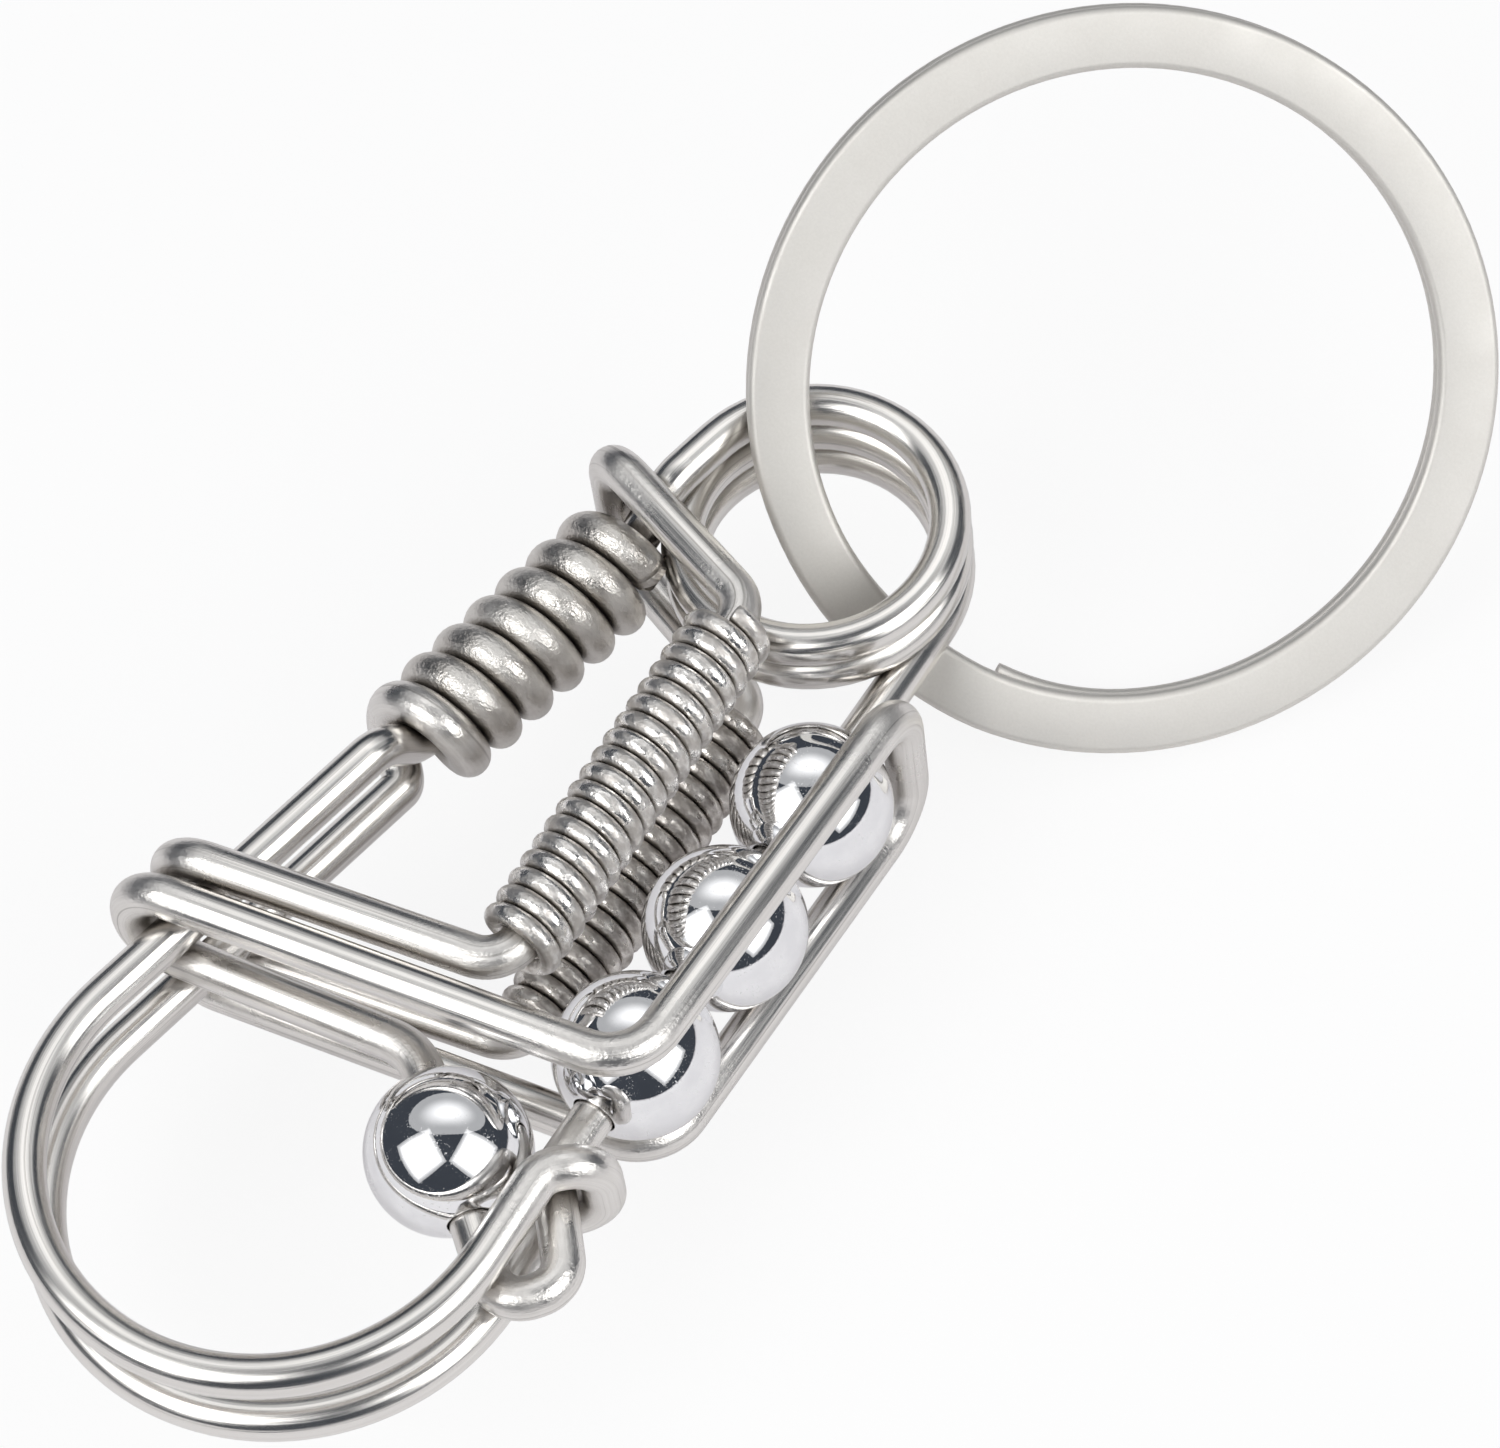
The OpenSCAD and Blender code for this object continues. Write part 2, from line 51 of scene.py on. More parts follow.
# Sizes in millimetres: the part source's own, and lips, tapers, edges and splays that only show here.
# Wire, eye and bow
WIRE_D = 2.0
WIRE_GAP = 0.3
EYE_R = 6.4
EYE_PITCH = 2.08
EYE_TURNS = 2
EYE_LEAD = 2.0
BOW_R = 11.2
BOW_DROP = 39.8
BOW_LEFT = 4.5

# Doubled nose, gate arm and hook
NOSE_RISE = 4.5
NOSE_LEAN = math.radians(40)
NOSE_LEN = 2.5
NOSE_BEND_R = 1.5
NOSE_TIP_R = 1.6
ARM_RISE = 5.4
ARM_BEND_R = 2.0
HOOK_R = 1.55
HOOK_OUT = 3.1
HOOK_OUT_RISE = 1.15
HOOK_LOW = 1.0
HOOK_LOW_DROP = 1.2

# Thumb bar, bars across the rail and cage beside the balls
THUMB_BEND_LEFT = 2.3
THUMB_BEND_DROP = 32.0
THUMB_BAR_FALL = 1.3
THUMB_BEND_R = 3.0
LOWER_BAR_DROP = 29.9
LOWER_BAR_FALL = 2.9
UPPER_BAR_DROP = 28.3
UPPER_BAR_FALL = 2.2
BAR_BEND_R = 2.6
WRAP_BEND_R = 2.2
BACK_RISE = 0.6
WRAP_KNEE = 4.0
CUT_BAR_LEN = 14.0
CAGE_OUT = 2.0
CAGE_TOP_OUT = 2.4
CAGE_GAP = 0.2
CAGE_TOP_DROP = 7.2
CAGE_BEND_R = 2.5

# Rods and the clip over their tops
FRONT_ROD_X = 0.7
BACK_ROD_X = -0.1
ROD_BEND_R = 1.8
CLIP_RIGHT_DROP = 6.9
CLIP_LEFT_DROP = 2.7
CLIP_BEND_R = 2.0

# Drilled balls
BALL_D = 7.7
BALL_STEP = 7.8
BALL_MID_DROP = 19.5
BORE_R = 1.05
BORE_LIP_R = 0.14
THUMB_BALL_ALONG = 5.4

# Sleeve springs
SPRING_OD = 4.2
SPRING_WIRE_D = 1.0
SPRING_PITCH = 1.02
SPRING_TURNS = 18.5
SPRING_DROP = 27.2
SPRING_START = math.radians(-100)
SPRING_TAPER_TURNS = 0.3
SPRING_END_GAUGE = 0.58

# Binding coil, and the dip of the front rail through it
BIND_R = 2.1
BIND_PITCH = 2.07
BIND_TURNS = 6.2
BIND_LEAD = 2.4
BIND_END = 6.8
DIP_TOP = 3.0
DIP_TOP_FOOT = 5.9
DIP_SLOPE = 2.0
DIP_PAST = 0.8
DIP_BEND_R = 2.0

# Split ring
RING_OD = 36.0
RING_BAND = 2.9
RING_T = 1.8
RING_STEP = math.radians(16)
RING_CUT = math.radians(325)
RING_LINK_Z = -1.0
RING_FAR = math.radians(106)
RING_LEAN = math.radians(46.5)
RING_HEADING = math.radians(-46.5)
RING_EDGE_R = 0.36
RING_TURN_GAP = 0.01
RING_SPLAY = math.radians(26)
RING_SPLAY_IN = 0.28
RING_SPLAY_BACK = 0.2

# Levels of the rails and the bars, and the ring's middle
FRAME_Z = WIRE_D + WIRE_GAP
BAR_Z = 2 * FRAME_Z
RING_MEAN_R = (RING_OD - RING_BAND) / 2

# A cut end's rim: distances from the end and the shares of the gauge there
CUT_RIM = [(0.26, 1.0), (0.12, 0.97), (0.04, 0.9), (0.0, 0.8)]

# Fineness of the swept wires and turned balls
BEND_STEP = math.radians(6)
MIN_BEND_STEPS = 3
BOW_STEP = math.radians(3)
STRAIGHT_STEP = 1.2
WIRE_SIDES = 28
SPRING_SIDES = 16
LOOP_STEPS = 60
CURL_STEPS = 36
RING_STEPS = 120
EDGE_STEPS = 6
QUAD_CORNERS = 4
BALL_SEGMENTS = 96
BALL_LIP_STEPS, BALL_OUT_STEPS, BALL_BORE_STEPS = 8, 56, 6

# How far the wire is worked, and how many points beside a bend of the nose are worked with it
DRAWN, BENT, WOUND = 0.0, 0.5, 1.0
NOSE_MARGIN = 2

# How much painted shade each spring gets: the back spring is painted darker and browner, as it sits in shade
FRONT_SHADE_SHARE, BACK_SHADE_SHARE = 0.0, 0.8


def mix(a, b, t):
    """From a at 0 to b at 1."""
    return a + (b - a) * t


def smooth(t):
    """From 0 to 1, level at both ends."""
    return t * t * (3 - 2 * t)


def ease(values, rounds=2):
    """Softens the steps in a row of values."""
    for _ in range(rounds):
        values = [
            (values[max(i - 1, 0)] + values[i] + values[min(i + 1, len(values) - 1)]) / 3
            for i in range(len(values))
        ]
    return values


def level_out(path, rounds=8):
    """Eases the rise of a path where a coil meets a straight, its ends kept."""
    for _ in range(rounds):
        heights = [p.z for p in path]
        for i in range(2, len(path) - 2):
            path[i].z = (heights[i - 1] + heights[i] + heights[i + 1]) / 3
    return path


def lay_straight(path, end):
    """Continues the path in even steps to the point end."""
    start = path[-1]
    steps = max(1, round((end - start).length / STRAIGHT_STEP))
    path.extend(mix(start, end, i / steps) for i in range(1, steps + 1))


def bent(corners, radii):
    """Points of a wire bent by the given radius at each inner corner, and where its bends begin and end."""
    path = [corners[0].copy()]
    bends = []
    for before, corner, after, r in zip(corners, corners[1:], corners[2:], radii):
        u = (corner - before).normalized()
        v = (after - corner).normalized()
        turn = u.angle(v)
        side = (v - u * u.dot(v)).normalized()
        start = corner - u * r * math.tan(turn / 2)
        lay_straight(path, start)
        first = len(path) - 1
        steps = max(MIN_BEND_STEPS, math.ceil(turn / BEND_STEP))
        for i in range(1, steps + 1):
            a = turn * i / steps
            path.append(start + side * r * (1 - math.cos(a)) + u * r * math.sin(a))
        bends.append((first, len(path) - 1))
    lay_straight(path, corners[-1])
    return path, bends


# The left rail runs along the common tangent of the eye and the bow
eye_to_bow = math.hypot(BOW_LEFT, BOW_DROP)
rail_a = math.atan2(BOW_LEFT, BOW_DROP) + math.asin((BOW_R - EYE_R) / eye_to_bow)
rail_dir = Vector((-math.sin(rail_a), -math.cos(rail_a), 0))
rail_side = Vector((math.cos(rail_a), -math.sin(rail_a), 0))
rail_out = Vector((-math.cos(rail_a), math.sin(rail_a), 0))
eye_tangent = rail_out * EYE_R
bow_centre = Vector((-BOW_LEFT, -BOW_DROP, 0))
bow_tangent = bow_centre + rail_out * BOW_R
rail_len = (bow_tangent - eye_tangent).length


def rail_at(s, z):
    """The point of the rail at level z, s down from the eye."""
    return eye_tangent + rail_dir * s + UP * z


def rail_x(y):
    """How far across the rail is at y."""
    return eye_tangent.x + (y - eye_tangent.y) * math.tan(rail_a)


# The eye, from the rail down to the gate arm
eye_start = math.pi - rail_a
eye_sweep = eye_start + TURN * EYE_TURNS
eye_fall = EYE_PITCH * eye_sweep / TURN
eye_end = Vector((EYE_R, 0, FRAME_Z - eye_fall))
arm_foot = Vector((EYE_R, ARM_RISE - BOW_DROP, 0))
arm_dir = (arm_foot - eye_end).normalized()


def arm_at(y):
    """The point of the gate arm at y."""
    return eye_end + arm_dir * (y - eye_end.y) / arm_dir.y


def eye_path():
    """The eye from the left rail down to the gate arm."""
    path = [rail_at(EYE_LEAD, FRAME_Z)]
    lay_straight(path, rail_at(0, FRAME_Z))
    steps = round(LOOP_STEPS * eye_sweep / TURN)
    for i in range(1, steps + 1):
        t = i / steps
        a = eye_start - eye_sweep * t
        path.append(Vector((EYE_R * math.cos(a), EYE_R * math.sin(a), FRAME_Z - eye_fall * t)))
    lay_straight(path, eye_end + arm_dir * EYE_LEAD)
    return level_out(path)


# The back rail's wire comes round by half a turn and winds about the front rail, which dips into the coil
BIND_FIRST = math.pi
BIND_BEHIND = math.pi / 2
bind_start = BIND_END + BIND_PITCH * BIND_TURNS
bind_foot = bind_start + BIND_LEAD
lead_slope = BIND_PITCH * 2 * BIND_FIRST / TURN


def bind_point(s, a, r):
    """The point at angle a and radius r about the coil's axis, s down from the eye."""
    return rail_at(s, 0) + (rail_side * math.cos(a) - UP * math.sin(a)) * r


def binding_path():
    """The lead from the back rail and the turns up to the cut end."""
    path = []
    lead_steps = round(LOOP_STEPS * BIND_FIRST / TURN)
    for i in range(lead_steps + 1):
        t = i / lead_steps
        s = bind_foot - (2 * BIND_LEAD - lead_slope) * t - (lead_slope - BIND_LEAD) * t * t
        path.append(bind_point(s, BIND_BEHIND + BIND_FIRST * t * t, mix(FRAME_Z, BIND_R, smooth(t))))
    steps = round(LOOP_STEPS * BIND_TURNS)
    for i in range(1, steps + 1):
        t = i / LOOP_STEPS
        path.append(bind_point(bind_start - BIND_PITCH * t, BIND_BEHIND + BIND_FIRST + TURN * t, BIND_R))
    return path


def bow_path(z):
    """The bow from the left rail round to its right strand."""
    sweep = math.pi + rail_a
    steps = math.ceil(sweep / BOW_STEP)
    points = []
    for i in range(1, steps + 1):
        a = math.pi - rail_a + sweep * i / steps
        points.append(bow_centre + Vector((math.cos(a), math.sin(a), 0)) * BOW_R + UP * z)
    return points


def frame_path():
    """The frame wire from the eye to the binding coil's cut end, and how far each point is worked."""
    foot = bind_start + DIP_PAST
    rail, _ = bent(
        [
            rail_at(EYE_LEAD, FRAME_Z), rail_at(DIP_TOP, FRAME_Z), rail_at(DIP_TOP_FOOT, 0),
            rail_at(foot, 0), rail_at(foot + DIP_SLOPE, FRAME_Z), rail_at(rail_len, FRAME_Z),
        ],
        [DIP_BEND_R] * 4,
    )
    strand_foot = Vector((BOW_R - BOW_LEFT, -BOW_DROP, 0))
    elbow = strand_foot + Vector((0, NOSE_RISE, 0))
    tip = elbow + Vector((math.cos(NOSE_LEAN), math.sin(NOSE_LEAN), 0)) * NOSE_LEN
    lift = UP * FRAME_Z
    nose, nose_bends = bent(
        [strand_foot + lift, elbow + lift, tip + lift, tip - lift, elbow - lift, strand_foot - lift],
        [NOSE_BEND_R, NOSE_TIP_R, NOSE_TIP_R, NOSE_BEND_R],
    )
    path = rail + bow_path(FRAME_Z)
    nose_from = len(path)
    path += nose[1:]
    path += list(reversed(bow_path(-FRAME_Z)))[1:]
    path.append(rail_at(rail_len, -FRAME_Z))
    lay_straight(path, rail_at(bind_foot, -FRAME_Z))
    coil_from = len(path)
    path += binding_path()[1:]
    worked = [DRAWN] * len(path)
    for first, last in nose_bends:
        for i in range(nose_from + first - NOSE_MARGIN, nose_from + last + NOSE_MARGIN):
            worked[i] = BENT
    for i in range(coil_from, len(path)):
        worked[i] = min(WOUND, (i - coil_from) / LOOP_STEPS)
    return path, ease(worked)


# Corners of the gate wire
strand_x = BOW_R - BOW_LEFT
hook_side = Vector((strand_x + HOOK_OUT, HOOK_OUT_RISE - BOW_DROP, 0))
hook_floor = Vector((strand_x + HOOK_LOW, -HOOK_LOW_DROP - BOW_DROP, 0))
thumb_bend = Vector((-THUMB_BEND_LEFT, -THUMB_BEND_DROP, 0))
thumb_dir = (hook_floor - thumb_bend).normalized()
cage_half = math.sqrt(((BALL_D + WIRE_D) / 2 + CAGE_GAP) ** 2 - CAGE_OUT ** 2)
corner_y = -LOWER_BAR_DROP
front_z = max(BAR_Z, arm_at(corner_y).z + cage_half)
back_z = min(-BAR_Z, arm_at(corner_y).z - cage_half)
top_z = arm_at(-CAGE_TOP_DROP).z
wrap_out = FRAME_Z / math.cos(rail_a)
lower_left_y = corner_y - LOWER_BAR_FALL
lower_left_x = rail_x(lower_left_y) - wrap_out
upper_left_y = -UPPER_BAR_DROP - UPPER_BAR_FALL
upper_left_x = rail_x(upper_left_y) - wrap_out
clip_left_x = rail_x(-CLIP_LEFT_DROP) - wrap_out
back_corner = Vector((EYE_R + CAGE_OUT, corner_y + BACK_RISE, back_z))
rod_foot_back = Vector((BACK_ROD_X, BACK_RISE - UPPER_BAR_DROP, back_z))
lower_back_left = Vector((lower_left_x, lower_left_y + BACK_RISE, back_z))
upper_back_left = Vector((upper_left_x, upper_left_y + BACK_RISE, back_z))


def gate_path():
    """The gate wire from the eye to its cut end behind the back rod, and how far each point is worked."""
    bar_dir = (upper_back_left - rod_foot_back).normalized()
    corners_and_bends = [
        (eye_end + arm_dir * EYE_LEAD, 0),
        (arm_foot, ARM_BEND_R),
        (hook_side, HOOK_R),
        (hook_floor, HOOK_R),
        (thumb_bend, THUMB_BEND_R),
        (Vector((lower_left_x, -THUMB_BEND_DROP - THUMB_BAR_FALL, 0)), WRAP_BEND_R),
        (Vector((lower_left_x, lower_left_y, front_z)), WRAP_BEND_R),
        (Vector((EYE_R + CAGE_OUT, corner_y, front_z)), BAR_BEND_R),
        (Vector((EYE_R + CAGE_TOP_OUT, -CAGE_TOP_DROP, top_z + cage_half)), CAGE_BEND_R),
        (Vector((EYE_R + CAGE_TOP_OUT, -CAGE_TOP_DROP, top_z - cage_half)), CAGE_BEND_R),
        (back_corner, BAR_BEND_R),
        (lower_back_left, WRAP_BEND_R),
        (Vector((upper_left_x, upper_left_y, back_z + WRAP_KNEE)), WRAP_BEND_R),
        (Vector((upper_left_x, upper_left_y, front_z)), WRAP_BEND_R),
        (Vector((FRONT_ROD_X, -UPPER_BAR_DROP, front_z)), ROD_BEND_R),
        (Vector((FRONT_ROD_X, -CLIP_RIGHT_DROP, front_z)), ROD_BEND_R),
        (Vector((clip_left_x, -CLIP_LEFT_DROP, front_z)), CLIP_BEND_R),
        (Vector((clip_left_x, -CLIP_LEFT_DROP, back_z)), CLIP_BEND_R),
        (Vector((BACK_ROD_X, -CLIP_RIGHT_DROP, back_z)), ROD_BEND_R),
        (rod_foot_back, ROD_BEND_R),
        (rod_foot_back + bar_dir * CUT_BAR_LEN, 0),
    ]
    path, bends = bent(
        [corner for corner, _ in corners_and_bends],
        [r for _, r in corners_and_bends[1:-1]],
    )
    worked = [DRAWN] * len(path)
    for first, last in bends:
        for i in range(max(first - 1, 0), last + 1):
            worked[i] = BENT
    return path, ease(worked)


def spring_path(foot, turns):
    """A sleeve spring wound left-handed along +Y from its lower end."""
    r = (SPRING_OD - SPRING_WIRE_D) / 2
    path = []
    for i in range(round(CURL_STEPS * turns) + 1):
        a = SPRING_START + TURN * i / CURL_STEPS
        path.append(foot + Vector((r * math.cos(a), SPRING_PITCH * i / CURL_STEPS, r * math.sin(a))))
    return path


def ring_path():
    """The split ring's strip about its own axis: a turn, a step down and a turn with its end sprung."""
    height = RING_T / 4
    sweep = 2 * TURN - RING_STEP
    steps = round(RING_STEPS * sweep / TURN)
    path = []
    for i in range(steps + 1):
        a = RING_STEP + sweep * i / steps
        down = smooth(min(max((a - TURN) / RING_STEP, 0), 1))
        sprung = max((a - 2 * TURN) / RING_SPLAY + 1, 0) ** 2
        r = RING_MEAN_R - RING_SPLAY_IN * sprung
        z = height * (1 - 2 * down) - RING_SPLAY_BACK * sprung
        path.append(Vector((r * math.cos(a), -r * math.sin(a), z)))
    return path


# Node trees
class Graph:
    """A node tree with short calls for its nodes and links."""

    def __init__(self, tree):
        self.tree = tree

    def add(self, kind, inputs=None, **settings):
        node = self.tree.nodes.new(kind)
        for key, value in settings.items():
            setattr(node, key, value)
        for key, value in (inputs or {}).items():
            socket = node.inputs[key]
            if isinstance(value, bpy.types.NodeSocket):
                self.tree.links.new(value, socket)
            else:
                socket.default_value = value
        return node

    def math(self, operation, a, b=0.0, clamp=False):
        return self.add("ShaderNodeMath", {0: a, 1: b}, operation=operation, use_clamp=clamp).outputs[0]


def node_tree(kind, name, inputs, outputs):
    """A new tree with named sockets: its graph, what it is given and where its results go."""
    tree = bpy.data.node_groups.new(name, kind)
    for in_out, sockets in (("INPUT", inputs), ("OUTPUT", outputs)):
        for label, socket_type in sockets.items():
            tree.interface.new_socket(label, in_out=in_out, socket_type=socket_type)
    graph = Graph(tree)
    return graph, graph.add("NodeGroupInput").outputs, graph.add("NodeGroupOutput")


def geometry_tree(name, sizes):
    """A tree for a modifier, which turns a path into a mesh."""
    shape = {"Geometry": "NodeSocketGeometry"}
    graph, given, out = node_tree("GeometryNodeTree", name, {**shape, **sizes}, shape)
    graph.tree.is_modifier = True
    return graph, given, out


def path_with_length(graph, given):
    """The given edges as a curve, each point with its length from the start and its place."""
    curve = graph.add("GeometryNodeMeshToCurve", {"Mesh": given["Geometry"]})
    keep = graph.add("GeometryNodeCaptureAttribute", {"Geometry": curve.outputs["Curve"]}, domain="POINT")
    keep.capture_items.new("FLOAT", "along")
    keep.capture_items.new("VECTOR", "middle")
    graph.tree.links.new(graph.add("GeometryNodeSplineParameter").outputs["Length"], keep.inputs["along"])
    graph.tree.links.new(graph.add("GeometryNodeInputPosition").outputs["Position"], keep.inputs["middle"])
    return keep


def stored(graph, geometry, name, value, data_type):
    """Keeps a value at each point for the finishes."""
    node = graph.add(
        "GeometryNodeStoreNamedAttribute", {"Geometry": geometry, "Name": name, "Value": value},
        data_type=data_type, domain="POINT",
    )
    return node.outputs["Geometry"]


def finish_sweep(graph, mesh, given, out):
    """Keeps the cut faces flat, joins all and sets the material."""
    corners = graph.add("GeometryNodeInputMeshFaceNeighbors").outputs["Vertex Count"]
    is_side = graph.add(
        "FunctionNodeCompare", {2: corners, 3: QUAD_CORNERS}, data_type="INT", operation="LESS_EQUAL"
    )
    shade = graph.add(
        "GeometryNodeSetShadeSmooth", {"Geometry": mesh, "Shade Smooth": is_side.outputs["Result"]}
    )
    real = graph.add("GeometryNodeRealizeInstances", {"Geometry": shade.outputs["Geometry"]})
    paint = graph.add(
        "GeometryNodeSetMaterial",
        {"Geometry": real.outputs["Geometry"], "Material": given["Material"]},
    )
    graph.tree.links.new(paint.outputs["Geometry"], out.inputs["Geometry"])


def swept_wire_tree():
    """Round wire along a path, thinned by its gauge, with its unrolled place and what faces the next turn."""
    graph, given, out = geometry_tree(
        "swept_wire",
        {
            "Wire Diameter": "NodeSocketFloat",
            "Winding Axis": "NodeSocketVector",
            "Sides": "NodeSocketInt",
            "Material": "NodeSocketMaterial",
        },
    )
    path = path_with_length(graph, given)
    radius = graph.math("MULTIPLY", given["Wire Diameter"], 0.5)
    circle = graph.add("GeometryNodeCurvePrimitiveCircle", {"Resolution": given["Sides"], "Radius": radius})
    profile = graph.add("GeometryNodeCaptureAttribute", {"Geometry": circle.outputs["Curve"]}, domain="POINT")
    profile.capture_items.new("FLOAT", "around")
    graph.tree.links.new(
        graph.add("GeometryNodeSplineParameter").outputs["Factor"], profile.inputs["around"]
    )
    gauge = graph.add("GeometryNodeInputNamedAttribute", {"Name": "gauge"}, data_type="FLOAT")
    sweep = graph.add(
        "GeometryNodeCurveToMesh",
        {
            "Curve": path.outputs["Geometry"],
            "Profile Curve": profile.outputs["Geometry"],
            "Scale": gauge.outputs["Attribute"],
            "Fill Caps": True,
        },
    )
    angle = graph.math("MULTIPLY", profile.outputs["around"], TURN)
    space = graph.add(
        "ShaderNodeCombineXYZ",
        {
            "X": graph.math("MULTIPLY", graph.math("COSINE", angle), radius),
            "Y": graph.math("MULTIPLY", graph.math("SINE", angle), radius),
            "Z": path.outputs["along"],
        },
    )
    outward = graph.add(
        "ShaderNodeVectorMath",
        {0: graph.add("GeometryNodeInputPosition").outputs["Position"], 1: path.outputs["middle"]},
        operation="SUBTRACT",
    )
    facing = graph.add(
        "ShaderNodeVectorMath",
        {0: outward.outputs["Vector"], 1: given["Winding Axis"]},
        operation="DOT_PRODUCT",
    )
    between = graph.math("DIVIDE", graph.math("ABSOLUTE", facing.outputs["Value"]), radius)
    mesh = stored(graph, sweep.outputs["Mesh"], "between", between, "FLOAT")
    mesh = stored(graph, mesh, "wire_space", space.outputs["Vector"], "FLOAT_VECTOR")
    finish_sweep(graph, mesh, given, out)
    return graph.tree


def swept_band_tree():
    """Flat strip with rounded edges along a level path."""
    graph, given, out = geometry_tree(
        "swept_band",
        {
            "Band Width": "NodeSocketFloat",
            "Band Thickness": "NodeSocketFloat",
            "Edge Radius": "NodeSocketFloat",
            "Material": "NodeSocketMaterial",
        },
    )
    path = graph.add("GeometryNodeMeshToCurve", {"Mesh": given["Geometry"]})
    level = graph.add("GeometryNodeSetCurveNormal", {"Curve": path.outputs["Curve"]}, mode="Z_UP")
    section = graph.add(
        "GeometryNodeCurvePrimitiveQuadrilateral",
        {"Width": given["Band Width"], "Height": given["Band Thickness"]},
        mode="RECTANGLE",
    )
    rounded = graph.add(
        "GeometryNodeFilletCurve",
        {
            "Curve": section.outputs["Curve"],
            "Count": EDGE_STEPS,
            "Radius": given["Edge Radius"],
            "Limit Radius": True,
        },
        mode="POLY",
    )
    sweep = graph.add(
        "GeometryNodeCurveToMesh",
        {"Curve": level.outputs["Curve"], "Profile Curve": rounded.outputs["Curve"], "Fill Caps": True},
    )
    finish_sweep(graph, sweep.outputs["Mesh"], given, out)
    return graph.tree


def swept(name, tree, path, sizes, attributes=None):
    """A plain mesh object made by running the tree along the path."""
    mesh = bpy.data.meshes.new(name + "_path")
    mesh.from_pydata([p * MM for p in path], [(i, i + 1) for i in range(len(path) - 1)], [])
    for label, values in (attributes or {}).items():
        layer = mesh.attributes.new(label, "FLOAT", "POINT")
        layer.data.foreach_set("value", values)
    obj = bpy.data.objects.new(name, mesh)
    bpy.context.scene.collection.objects.link(obj)
    modifier = obj.modifiers.new("sweep", "NODES")
    modifier.node_group = tree
    named = {s.name: s.identifier for s in tree.interface.items_tree if s.in_out == "INPUT"}
    for label, value in sizes.items():
        modifier[named[label]] = value
    depsgraph = bpy.context.evaluated_depsgraph_get()
    made = bpy.data.meshes.new_from_object(obj.evaluated_get(depsgraph))
    obj.modifiers.remove(modifier)
    obj.data = made
    made.name = name
    return obj


def cut_gauge(path, at_start, at_end):
    """Adds points close to each cut end and gives the gauge that rounds its rim."""
    gauge = [1.0] * len(path)
    if at_end:
        end, back = path[-1], (path[-2] - path[-1]).normalized()
        path[-1:] = [end + back * d for d, _ in CUT_RIM]
        gauge[-1:] = [g for _, g in CUT_RIM]
    if at_start:
        end, back = path[0], (path[1] - path[0]).normalized()
        path[:1] = [end + back * d for d, _ in reversed(CUT_RIM)]
        gauge[:1] = [g for _, g in reversed(CUT_RIM)]
    return gauge


# Finishes: a pair runs from the low end of its pattern to the high end
# Painted shade: the dark tone laid into crevices between turns and into corners hemmed in by other wires
PAINTED_SHADE_TONE = (0.27, 0.245, 0.22)
HAIRLINE = (0.36, 0.34, 0.32)
DRAWN_TONES = (0.70, 0.675, 0.64), (0.92, 0.90, 0.87)
WOUND_TONES = (0.62, 0.59, 0.55), (0.80, 0.775, 0.735)
RUBBED_TONES = (0.64, 0.61, 0.575), (0.93, 0.91, 0.88)
# Painted shade: the darker brown tones of a spring that sits in shade
SHADED_SPRING_TONES = (0.34, 0.31, 0.285), (0.66, 0.63, 0.59)
MIRROR_TONES = (0.87, 0.87, 0.88), (0.93, 0.93, 0.935)
NICKEL_TONES = (0.75, 0.73, 0.69), (0.82, 0.80, 0.76)
DRAWN_ROUGH = 0.12, 0.31
WORKED_ROUGH = 0.28, 0.44
SPRING_ROUGH = 0.48, 0.22
MIRROR_ROUGH = 0.03, 0.45
NICKEL_ROUGH = 0.56, 0.62

# Scales of the patterns, per metre
WIRE_LINES = {"Fineness": 7000.0, "Stretch": 0.012}
WIRE_HAIRS = {"Fineness": 5200.0, "Stretch": 0.005}
WIRE_SPECKLE = {"Grain": 6500.0, "Patch": 800.0}
SPRING_SPECKLE = {"Grain": 5200.0, "Patch": 1500.0}
MIRROR_SPECKLE = {"Grain": 9000.0, "Patch": 700.0}
NICKEL_SPECKLE = {"Grain": 7000.0, "Patch": 350.0}
LINE_NOISE = {"Detail": 3.0, "Roughness": 0.6}
GRAIN_NOISE = {"Detail": 2.0, "Roughness": 0.6}
PATCH_NOISE = {"Detail": 3.0, "Roughness": 0.55}

# Where a pattern begins to show and where it shows in full
PATCH_RANGE = 0.38, 0.62
HAIR_RANGE = 0.58, 0.68
DUST_RANGE = 0.57, 0.69
# The crevice and corner ranges set where painted shade begins and where it is full
CREVICE_RANGE = 0.78, 1.0
CORNER_RANGE = 0.75, 0.25
HAIR_STRENGTH = 0.6
# Strength, reach and samples of the painted shade in hemmed-in corners
CORNER_STRENGTH = 0.8
CORNER_REACH = 1.6 * MM
CORNER_SAMPLES = 6

# Relief: its depth and strength, and how deep each pattern goes in it
WIRE_RELIEF = 0.03 * MM, 0.5
SPRING_RELIEF = 0.04 * MM, 0.7
MIRROR_RELIEF = 0.004 * MM, 0.12
NICKEL_RELIEF = 0.012 * MM, 0.3
LINE_DEPTH = 0.9
GRAIN_DEPTHS = 1.6, 3.4
PATCH_DEPTH = 0.9

# Places of A, B and Result among a Mix node's sockets
MIX_SOCKETS = {"FLOAT": (2, 3, 0), "RGBA": (6, 7, 2)}


def remap(graph, value, source=(0.0, 1.0), target=(0.0, 1.0), **settings):
    """Carries the source range to the target range and holds the value inside it."""
    ends = {"From Min": source[0], "From Max": source[1], "To Min": target[0], "To Max": target[1]}
    return graph.add("ShaderNodeMapRange", {"Value": value, **ends}, **settings).outputs["Result"]


def noise(graph, place, scale, texture):
    """Even noise of the given scale."""
    return graph.add("ShaderNodeTexNoise", {"Vector": place, "Scale": scale, **texture}).outputs["Fac"]


